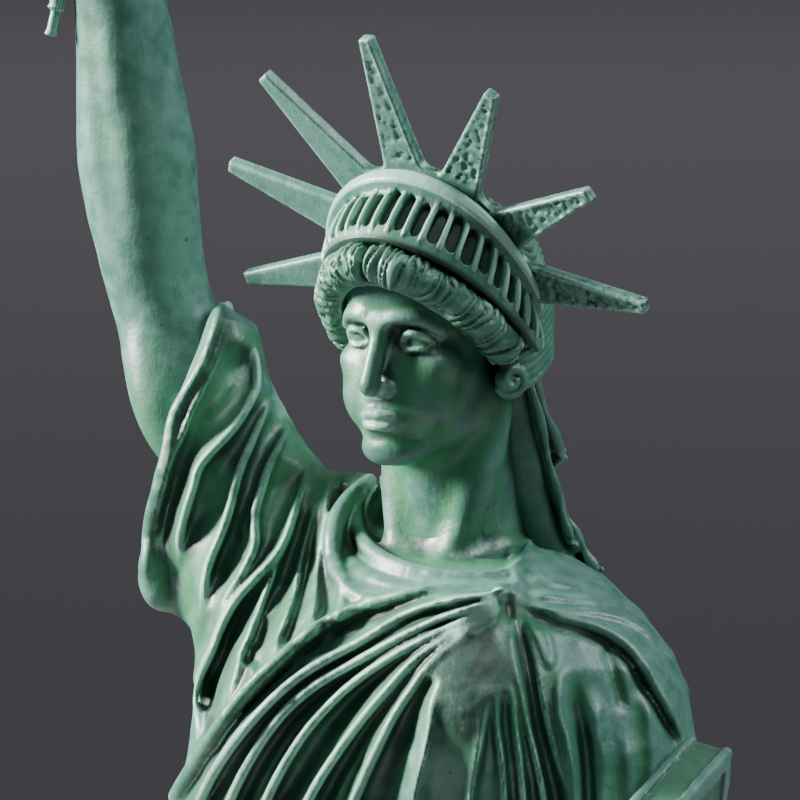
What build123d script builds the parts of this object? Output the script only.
"""Miniature landmark figure: a robed, crowned torch bearer on a stepped pedestal.

Frame: millimetres, +Z up, the figure faces -Y, her left hand is on the +X side, and the origin is
the centre of the felt underside that the model stands on.
"""
import os
from math import cos, pi, radians, sin

from build123d import *

# ---------------------------------------------------------------- driving dimensions, millimetres
TOTAL_HEIGHT = 305.0
GROUND_Z = 77.0              # top of the plinth, where her feet stand

FELT_SIZE, FELT_THICK = 100.0, 1.0
SLAB_SIZE, SLAB_TOP = 104.0, 9.0
FORT_POINTS, FORT_TIP_R, FORT_NOTCH_R, FORT_TOP = 11, 48.0, 39.5, 21.0
STEP_SIZE, STEP_TOP = 66.0, 27.0
CORE_FOOT, CORE_HEAD, CORE_TOP = 60.0, 56.0, 62.0
LOGGIA_FLOOR, LOGGIA_CEILING, LOGGIA_DEPTH, PIER_SIZE = 46.0, 58.0, 3.5, 9.0
JOINT_HEIGHTS, JOINT_GAP, JOINT_DEPTH = (30.6, 34.4, 38.2), 0.6, 0.9
SHIELD_RADIUS, SHIELD_PITCH, SHIELD_Z = 1.7, 7.2, 43.0
COLUMN_RADIUS, COLUMN_FOOT, COLUMN_PITCH = 1.35, 3.4, 8.0
CORNICE_SIZE, CORNICE_TOP = 66.0, 71.0
PARAPET_WALL, PARAPET_DEPTH = 3.0, 3.0
PLINTH_X, PLINTH_Y = 55.0, 51.0
POCKET_RADIUS, POCKET_TOP = 8.5, 6.5

ROD_RADIUS, ROD_HOLE_RADIUS = 2.5, 2.9
ROD_LOW, ROD_HIGH = 2.0, 108.0
INSERT_RADIUS, INSERT_LENGTH = 5.0, 24.0

CROWN_CENTRE = Vector(0, -1, 238)
CROWN_LEAN = 26.0            # the ray plate leans forward from upright, degrees
RING_RADIUS = 10.7
RAY_TIP_RADIUS = 24.9
RAY_STEP = 32.6              # degrees between rays
RAY_COUNT = 7
PLATE_THICK = 1.3
DIADEM_WALL = 1.6
DIADEM_FOOT = Vector(0, -1, 231.4)
DIADEM_NORMAL = Vector(0, -0.655, -0.756)    # square to the diadem's lower edge, pointing down and forward
HAIR_ROLL_RADIUS = 1.9

TORCH_LOW = Vector(-43.7, -7.9, 259.5)
TORCH_AXIS = Vector(0.14, 0.19, 1.0).normalized()
TORCH_LENGTH = (TOTAL_HEIGHT - TORCH_LOW.Z) / TORCH_AXIS.Z
FLAME_LOW = 29.7             # height of the flame's foot along the torch
FIST_HEIGHT = 12.6           # height of the fist's middle along the torch

# Draped body, ground to neck: (z, half width, half depth, centre x, centre y)
ROBE_STATIONS = [
    (GROUND_Z, 26.0, 21.8, 0, 1.0), (105.0, 25.0, 20.4, 0, 1.2), (135.0, 25.6, 19.8, -0.3, 1.8),
    (165.0, 26.4, 19.4, -0.7, 2.3), (188.0, 26.7, 18.8, -0.9, 2.6), (199.0, 23.6, 16.0, -0.5, 3.4),
    (206.0, 16.6, 12.2, 0, 4.0), (212.0, 9.2, 9.2, 0, 3.6),
]
ROBE_CHEST_Z, ROBE_NECK_Z = 188.0, 212.0

# Centre line of the raised arm and its radius at each point, shoulder socket to wrist
ARM_LINE = [
    ((-24.5, 2.8, 209.0), 5.6),
    ((-30.8, 1.6, 221.5), 5.4),
    ((-35.7, 0.3, 232.0), 5.2),
    ((-37.6, -1.5, 247.0), 5.9),
    ((-38.2, -3.0, 262.0), 4.8),
    ((-39.4, -4.2, 268.5), 3.8),
    ((-40.6, -4.9, 272.5), 3.6),
]

# Tablet: its back top outer corner, and its edges' directions
TABLET_CORNER = Vector(31.5, 6.3, 189.8)
TABLET_FORWARD = Vector(0.175, -0.944, -0.280).normalized()
TABLET_DOWN = Vector(-0.277, 0.226, -0.934).normalized()
TABLET_INWARD = TABLET_DOWN.cross(TABLET_FORWARD).normalized()
TABLET_WIDTH, TABLET_LENGTH, TABLET_THICK = 20.0, 35.0, 5.2


# ---------------------------------------------------------------- helpers
def stacked_ellipses(stations):
    """A smooth solid through level ellipses, each (z, half width, half depth, centre x, centre y)."""
    return loft([Pos(x, y, z) * Ellipse(a, b) for z, a, b, x, y in stations])


def between(stations, z):
    """The station at height z, eased between the given ones, so that evenly spaced sections don't wave."""
    for low, high in zip(stations, stations[1:]):
        if low[0] <= z <= high[0]:
            share = (z - low[0]) / (high[0] - low[0])
            eased = (share + share * share * (3 - 2 * share)) / 2
            return (z, *[a + (b - a) * eased for a, b in zip(low[1:], high[1:])])
    raise ValueError("no station holds that height")


def limb(line):
    """A round limb through (point, radius) stations, each section square to the centre line."""
    points = [Vector(*p) for p, _ in line]
    sections = []
    for i, (_, radius) in enumerate(line):
        ahead = points[min(i + 1, len(points) - 1)]
        behind = points[max(i - 1, 0)]
        plane = Plane(origin=points[i], x_dir=(0, 1, 0), z_dir=(ahead - behind).normalized())
        sections.append(plane * Circle(radius))
    return loft(sections)


def ellipsoid(centre, half_x, half_y, half_z):
    """A full ellipsoid with its axes along the frame."""
    return Pos(*centre) * scale(Sphere(1), by=(half_x, half_y, half_z))


def block(size_x, size_y, low, high, edge=0.0):
    """A level block between two heights, with its upright edges rounded."""
    body = Pos(0, 0, (low + high) / 2) * Box(size_x, size_y, high - low)
    return fillet(body.edges().filter_by(Axis.Z), edge) if edge else body


def tapered_block(foot, head, low, high):
    """A square block that narrows from foot to head."""
    return loft([Pos(0, 0, low) * Rectangle(foot, foot), Pos(0, 0, high) * Rectangle(head, head)])


def rod_hole():
    """The clearance hole for the tie rod, through the whole base."""
    return Pos(0, 0, GROUND_Z / 2) * Cylinder(ROD_HOLE_RADIUS, GROUND_Z + 40)


def crown_plane(offset=0.0):
    """The leaning plane of the rays. Its x is her left, its y is up and its z points forward."""
    lean = radians(CROWN_LEAN)
    forward = Vector(0, -cos(lean), -sin(lean))
    return Plane(origin=CROWN_CENTRE + forward * offset, x_dir=(1, 0, 0), z_dir=forward)


def torch_plane(height):
    """A plane square to the torch, at a height along its axis from its lower tip."""
    return Plane(origin=TORCH_LOW + TORCH_AXIS * height, x_dir=(1, 0, 0), z_dir=TORCH_AXIS)


def turned(profile):
    """A solid turned round the torch axis from (height, radius) stations joined by straight runs."""
    outline = [(0, profile[0][0])] + [(r, h) for h, r in profile] + [(0, profile[-1][0])]
    face = make_face(Polyline(*[(x, 0, z) for x, z in outline], close=True))
    return torch_plane(0) * revolve(face, Axis.Z)


# ---------------------------------------------------------------- base and pedestal
def make_felt_pad():
    return block(FELT_SIZE, FELT_SIZE, 0, FELT_THICK, 5)


def make_base_slab():
    slab = block(SLAB_SIZE, SLAB_SIZE, FELT_THICK, SLAB_TOP, 6)
    slab = chamfer(slab.faces().sort_by(Axis.Z)[-1].edges(), 1.6)
    depth = POCKET_TOP - FELT_THICK
    pocket = Pos(0, 0, FELT_THICK + depth / 2) * Cylinder(POCKET_RADIUS, depth)
    return slab - pocket - rod_hole()


def make_star_fort():
    corners = []
    for i in range(2 * FORT_POINTS):
        radius = FORT_TIP_R if i % 2 == 0 else FORT_NOTCH_R
        angle = pi * i / FORT_POINTS - pi / 2
        corners.append((radius * cos(angle), radius * sin(angle)))
    outline = make_face(Polyline(*corners, close=True))
    fort = extrude(Pos(0, 0, SLAB_TOP) * outline, FORT_TOP - SLAB_TOP, taper=7)
    return fort - rod_hole()


def make_pedestal_step():
    lower = tapered_block(STEP_SIZE + 8, STEP_SIZE + 4, FORT_TOP, FORT_TOP + 3)
    upper = tapered_block(STEP_SIZE, STEP_SIZE - 2, FORT_TOP + 3, STEP_TOP)
    return lower + upper - rod_hole()


def make_pedestal_core():
    """Coursed lower block with a row of round shields, corner piers beside the loggia, and its lintel."""
    lower = tapered_block(CORE_FOOT, CORE_HEAD + 1, STEP_TOP, LOGGIA_FLOOR)
    for z in JOINT_HEIGHTS:
        inside = CORE_FOOT - 3 * (z - STEP_TOP) / (LOGGIA_FLOOR - STEP_TOP) - 2 * JOINT_DEPTH
        lower -= block(80, 80, z, z + JOINT_GAP) - block(inside, inside, z, z + JOINT_GAP)
    inner_size = CORE_HEAD - 2 * LOGGIA_DEPTH
    inner = block(inner_size, inner_size, LOGGIA_FLOOR, LOGGIA_CEILING)
    pier_at = (CORE_HEAD - PIER_SIZE) / 2
    piers = [Pos(x, y, 0) * block(PIER_SIZE, PIER_SIZE, LOGGIA_FLOOR, LOGGIA_CEILING)
             for x in (-pier_at, pier_at) for y in (-pier_at, pier_at)]
    lintel = block(CORE_HEAD, CORE_HEAD, LOGGIA_CEILING, CORE_TOP)
    core = lower + inner + piers + lintel
    shield = Cylinder(SHIELD_RADIUS, 1.2, rotation=(90, 0, 0))
    for turn in range(4):
        for k in range(7):
            spot = Pos((k - 3) * SHIELD_PITCH, -CORE_HEAD / 2 - 0.6, SHIELD_Z)
            core += Rot(0, 0, 90 * turn) * spot * shield
    return core - rod_hole()


def make_loggia_columns():
    """Four columns on each side, each with a square foot and head."""
    low, high = LOGGIA_FLOOR, LOGGIA_CEILING
    shaft = Pos(0, 0, (low + high) / 2) * Cylinder(COLUMN_RADIUS, high - low - 2)
    column = shaft + block(COLUMN_FOOT, COLUMN_FOOT, low, low + 1.2)
    column += block(COLUMN_FOOT, COLUMN_FOOT, high - 1.2, high)
    spots = [(k - 1.5) * COLUMN_PITCH for k in range(4)]
    return Compound([Rot(0, 0, 90 * turn) * Pos(x, (LOGGIA_DEPTH - CORE_HEAD) / 2, 0) * column
                     for turn in range(4) for x in spots])


def make_pedestal_cornice():
    ledge = tapered_block(CORE_HEAD + 2, CORNICE_SIZE, CORE_TOP, CORE_TOP + 3)
    wall = block(CORNICE_SIZE - 3, CORNICE_SIZE - 3, CORE_TOP + 3, CORNICE_TOP)
    inside = CORNICE_SIZE - 3 - 2 * PARAPET_WALL
    room = block(inside, inside, CORNICE_TOP - PARAPET_DEPTH, CORNICE_TOP)
    return ledge + wall - room - rod_hole()


def make_figure_plinth():
    low = CORNICE_TOP - PARAPET_DEPTH
    plinth = block(PLINTH_X, PLINTH_Y, low, GROUND_Z, 4)
    plinth = chamfer(plinth.faces().sort_by(Axis.Z)[-1].edges(), 1.0)
    return plinth - rod_hole()


# ---------------------------------------------------------------- figure
def make_raised_arm_blank():
    """Bare arm and closed fist, before the torch and the dowel are let into it."""
    arm = limb(ARM_LINE)
    fist_centre = TORCH_LOW + TORCH_AXIS * FIST_HEIGHT
    fist = ellipsoid(fist_centre + Vector(0.4, 0.2, 0), 5.2, 5.2, 5.4)
    return arm + fist


def make_torch_handle():
    return turned([(0, 0.75), (0.7, 0.55), (3.0, 0.55), (3.0, 0.9), (5.0, 1.1), (18.0, 2.2), (21.0, 3.1),
                   (21.0, 2.4), (23.0, 3.4), (24.5, 5.4), (24.5, 1.2), (27.0, 1.2)])


def make_torch_gallery():
    """Open walkway ring with its railing and the flame's seat."""
    ring = turned([(24.6, 5.6), (25.4, 6.6), (26.2, 6.6), (26.2, 6.2), (29.0, 6.2), (29.0, 6.7), (29.7, 6.7)])
    room = turned([(26.2, 5.6), (29.8, 5.6)])
    seat = turned([(26.0, 3.4), (29.6, 3.2)])
    bore = turned([(24.0, 1.3), (27.1, 1.3)])
    return (ring - room) + seat - bore


def make_torch_flame():
    """Leaf-shaped flame with swept tongues."""
    rise = TORCH_LENGTH - FLAME_LOW
    body = [(0.0, 2.7), (0.13, 4.0), (0.3, 4.4), (0.52, 3.6), (0.76, 2.2), (1.0, 0.6)]
    flame = loft([torch_plane(FLAME_LOW + share * rise) * Circle(radius) for share, radius in body])
    for side in (0, 120, 240):
        tongue = [(0.1, 2.2, 2.2), (0.34, 3.2, 1.8), (0.6, 3.2, 0.5)]
        flame += loft([torch_plane(FLAME_LOW + share * rise) * Rot(0, 0, side) * Pos(out, 0) * Circle(radius)
                       for share, out, radius in tongue])
    return flame


def make_skull():
    return ellipsoid((0, -0.6, 235.6), 8.4, 10.0, 9.0)


def make_neck():
    return stacked_ellipses([(203.0, 6.6, 6.4, 0, 3.8), (212.0, 7.2, 7.0, 0, 3.4), (219.0, 6.7, 6.9, 0, 2.2),
                             (227.0, 6.6, 7.2, 0, 0.8)])


def make_head_blank():
    """Skull, jaw, nose and neck as plain rounded forms."""
    jaw = stacked_ellipses([(218.4, 2.6, 2.4, 0, -8.0), (221.5, 5.0, 5.4, 0, -5.2), (226.0, 7.0, 8.0, 0, -2.6),
                            (230.0, 7.5, 9.0, 0, -1.3), (233.5, 7.6, 9.2, 0, -0.8)])
    nose = loft([Pos(0, -10.4, 233.0) * Ellipse(1.0, 0.8), Pos(0, -11.4, 228.6) * Ellipse(1.5, 1.9),
                 Pos(0, -10.6, 227.2) * Ellipse(1.3, 1.2)])
    return make_skull() + jaw + nose + make_neck()


def make_hair_blank():
    """Roll over the brow, back of the hair, the knot behind it and three long locks."""
    cap = ellipsoid((0, 1.2, 236.4), 9.7, 12.2, 9.7)
    hair = cap & (Pos(0, 20.6, 240.0) * Box(40, 40, 19))
    hair += ellipsoid((0, 12.2, 237.0), 5.6, 4.8, 5.2)
    roll_plane = Plane(origin=DIADEM_FOOT + DIADEM_NORMAL * (HAIR_ROLL_RADIUS + 0.15), x_dir=(1, 0, 0),
                       z_dir=DIADEM_NORMAL)
    roll_line = roll_plane * EllipticalCenterArc((0, 0), 9.4, 13.0, start_angle=-10, arc_size=200)
    roll_end = Plane(origin=roll_line @ 0, z_dir=roll_line % 0)
    hair += sweep(roll_end * Circle(HAIR_ROLL_RADIUS), path=roll_line)
    for side in (-1, 1):
        hair += ellipsoid((8.3 * side, 3.2, 230.6), 2.3, 4.1, 4.7)
    for lock in (
        [((6.6, 7.8, 234.0), 2.5), ((8.2, 11.2, 225.0), 2.3), ((8.6, 11.8, 216.3), 1.8)],
        [((4.0, 9.6, 232.0), 2.5), ((7.4, 12.6, 219.0), 2.1), ((11.4, 12.8, 205.0), 1.8)],
        [((-6.6, 7.8, 234.0), 2.5), ((-8.2, 11.2, 225.0), 2.3), ((-8.8, 12.0, 215.0), 1.8)],
    ):
        hair += limb(lock)
    return hair


def diadem_cone(shrink):
    """The cone between the hair above the brow and the ring of rays, drawn in by a wall thickness."""
    low_plane = Plane(origin=DIADEM_FOOT, x_dir=(1, 0, 0), z_dir=DIADEM_NORMAL)
    cone = loft([low_plane * Ellipse(10.6 - shrink, 14.2 - shrink), crown_plane() * Circle(RING_RADIUS - shrink)])
    return cone & (Pos(0, -21, 240) * Box(60, 40, 40))


def make_diadem():
    """Band that rises from the hair above the brow to the ring of rays."""
    return diadem_cone(0.0) - diadem_cone(DIADEM_WALL)


def ray_outline(angle):
    """One tapered ray with a blunt tip, in the crown plane."""
    half_root, half_tip = 2.3, 0.62
    sketch = Polygon((-half_root, RING_RADIUS - 0.6), (half_root, RING_RADIUS - 0.6),
                     (half_tip, RAY_TIP_RADIUS - half_tip), (-half_tip, RAY_TIP_RADIUS - half_tip), align=None)
    sketch += Pos(0, RAY_TIP_RADIUS - half_tip) * Circle(half_tip)
    return Rot(0, 0, -angle) * sketch


def make_ray_crown():
    """Flat plate of seven rays on an open ring."""
    ring = Circle(RING_RADIUS + 0.9) - Circle(RING_RADIUS - 1.7)
    reach = (RAY_COUNT - 1) / 2 * RAY_STEP + 10
    left, top = 30 * sin(radians(reach)), 30 * cos(radians(reach))
    behind = Polygon((0, 0), (-left, top), (-30, -30), (30, -30), (left, top), align=None)
    outline = ring - behind
    for k in range(RAY_COUNT):
        outline += ray_outline((k - (RAY_COUNT - 1) / 2) * RAY_STEP)
    return extrude(crown_plane(-0.1) * outline, -PLATE_THICK)


def make_robe_blank():
    """Draped body with the loose sleeve of the raised arm and the sleeve of the lowered one."""
    skirt = stacked_ellipses([between(ROBE_STATIONS, GROUND_Z + k * (ROBE_CHEST_Z - GROUND_Z) / 8)
                              for k in range(9)])
    shoulders = stacked_ellipses([between(ROBE_STATIONS, ROBE_CHEST_Z + k * (ROBE_NECK_Z - ROBE_CHEST_Z) / 4)
                                  for k in range(5)])
    body = skirt + shoulders
    along = Vector(-21, -2.6, 32).normalized()
    sleeve = loft([Plane(origin=p, x_dir=(0, 1, 0), z_dir=along) * Ellipse(a, b) for p, a, b in (
        ((-10.0, 3.4, 194.0), 13.0, 13.0), ((-21.5, 1.5, 205.0), 12.5, 12.5),
        ((-27.6, 0.8, 216.0), 8.6, 9.2), ((-31.2, 0.8, 225.0), 6.4, 6.6))])
    upper_arm = limb([((13.0, 4.5, 201.0), 8.0), ((17.0, 4.8, 188.0), 8.7), ((19.4, 6.2, 173.0), 8.8),
                      ((20.0, 6.0, 157.0), 7.6)])
    return body + sleeve + upper_arm


def make_left_forearm_blank():
    """Forearm and hand that hold the tablet's lower edge."""
    forearm = limb([((20.0, 8.0, 158.0), 5.4), ((23.8, -2.0, 153.4), 4.6), ((26.6, -8.6, 150.6), 3.4)])
    palm = ellipsoid((27.3, -9.8, 150.8), 4.0, 4.8, 3.2)
    return forearm + palm


def make_tablet():
    """Book-shaped slab leaning on her left arm, with softened edges."""
    plane = Plane(origin=TABLET_CORNER, x_dir=TABLET_FORWARD, z_dir=TABLET_INWARD)
    length_sign = -1 if plane.y_dir.dot(TABLET_DOWN) < 0 else 1
    slab = Box(TABLET_WIDTH, TABLET_LENGTH, TABLET_THICK)
    slab = fillet(slab.edges(), 0.7)
    return plane * Pos(TABLET_WIDTH / 2, length_sign * TABLET_LENGTH / 2, TABLET_THICK / 2) * slab


def make_feet():
    """Two sandalled feet that show beyond the hem."""
    feet = []
    for x, y, turn in ((9.8, -15.2, 8), (-9.8, -14.2, -8)):
        foot = loft([Plane(origin=(0, -ahead, 0), x_dir=(1, 0, 0), z_dir=(0, -1, 0)) * Pos(0, low) * Ellipse(a, b)
                     for ahead, low, a, b in ((0, 1.9, 3.0, 1.85), (6, 1.4, 3.2, 1.35), (9, 1.0, 2.4, 0.95))])
        feet.append(Pos(x, y, GROUND_Z) * Rot(0, 0, turn) * foot)
    return feet


def make_broken_chain():
    """A few links of chain lying before her feet, each turned against the next."""
    wire, ring = 0.42, 1.7
    pitch = 2 * (ring - wire) - 0.24
    lift = ring * sin(pi / 4) + wire
    links = []
    for k in range(4):
        link = Rot(45 if k % 2 else -45, 0, 0) * Torus(ring, wire)
        links.append(Pos((k - 1.5) * pitch, -22.8, GROUND_Z + lift) * link)
    return Compound(links)


# ---------------------------------------------------------------- pins, rod and fasteners
def make_tie_rod():
    return Pos(0, 0, (ROD_LOW + ROD_HIGH) / 2) * Cylinder(ROD_RADIUS, ROD_HIGH - ROD_LOW)


def make_rod_insert():
    """Threaded sleeve moulded into the figure's foot."""
    high = GROUND_Z + INSERT_LENGTH
    sleeve = Pos(0, 0, high - INSERT_LENGTH / 2) * Cylinder(INSERT_RADIUS, INSERT_LENGTH)
    return sleeve - Pos(0, 0, high - INSERT_LENGTH / 2) * Cylinder(ROD_RADIUS + 0.02, INSERT_LENGTH + 2)


def make_rod_nut():
    nut = extrude(Pos(0, 0, 2.2) * RegularPolygon(4.4, 6), 3.0)
    return nut - Pos(0, 0, 4) * Cylinder(ROD_RADIUS + 0.02, 12)


def make_rod_washer():
    return Pos(0, 0, 5.85) * (Cylinder(7.5, 1.2) - Cylinder(ROD_RADIUS + 0.2, 4))


def make_neck_dowel():
    return Pos(0, 3.6, 203.0) * Cylinder(2.0, 14)


def make_arm_dowel():
    return limb([((-20.6, 3.6, 202.0), 1.6), ((-28.2, 2.1, 216.6), 1.6)])


def make_tablet_pin():
    """Peg from the tablet's inner face into the sleeve."""
    middle = TABLET_CORNER + TABLET_FORWARD * 11 + TABLET_DOWN * 17 + TABLET_INWARD * (TABLET_THICK + 1.4)
    return Plane(origin=middle, z_dir=TABLET_INWARD) * Cylinder(1.2, 7.0)


def clear_of(blank, *others):
    """The blank with room cut out for each piece that is let into it."""
    for other in others:
        blank = blank - other
    return blank


# ---------------------------------------------------------------- assembly
def build_parts():
    parts = {
        "felt_pad": make_felt_pad(), "base_slab": make_base_slab(), "star_fort": make_star_fort(),
        "pedestal_step": make_pedestal_step(), "pedestal_core": make_pedestal_core(),
        "loggia_columns": make_loggia_columns(), "pedestal_cornice": make_pedestal_cornice(),
        "figure_plinth": make_figure_plinth(), "tie_rod": make_tie_rod(), "rod_insert": make_rod_insert(),
        "rod_nut": make_rod_nut(), "rod_washer": make_rod_washer(), "neck_dowel": make_neck_dowel(),
        "arm_dowel": make_arm_dowel(), "tablet_pin": make_tablet_pin(), "torch_handle": make_torch_handle(),
        "torch_gallery": make_torch_gallery(), "torch_flame": make_torch_flame(),
        "ray_crown": make_ray_crown(), "broken_chain": make_broken_chain(),
    }
    parts["tablet"] = clear_of(make_tablet(), parts["tablet_pin"])
    parts["raised_arm"] = clear_of(make_raised_arm_blank(), parts["torch_handle"], parts["arm_dowel"])
    parts["head"] = clear_of(make_head_blank(), parts["neck_dowel"])
    parts["diadem"] = clear_of(make_diadem(), parts["head"], parts["ray_crown"])
    parts["hair"] = clear_of(make_hair_blank(), make_head_blank(), parts["ray_crown"])
    parts["left_forearm"] = clear_of(make_left_forearm_blank(), make_tablet())
    robe = clear_of(make_robe_blank(), make_head_blank(), make_raised_arm_blank(), make_tablet(),
                    parts["left_forearm"], parts["hair"], parts["neck_dowel"], parts["arm_dowel"],
                    parts["tablet_pin"], parts["tie_rod"], parts["rod_insert"])
    parts["robe_body"] = robe
    left_foot, right_foot = make_feet()
    parts["left_foot"] = clear_of(left_foot, robe)
    parts["right_foot"] = clear_of(right_foot, robe)
    return parts


os.makedirs("parts", exist_ok=True)
for name, shape in build_parts().items():
    solids = shape.solids()
    print(name, len(solids), [round(s.volume, 1) for s in solids], shape.is_valid)
    export_step(shape, f"parts/{name}.step")
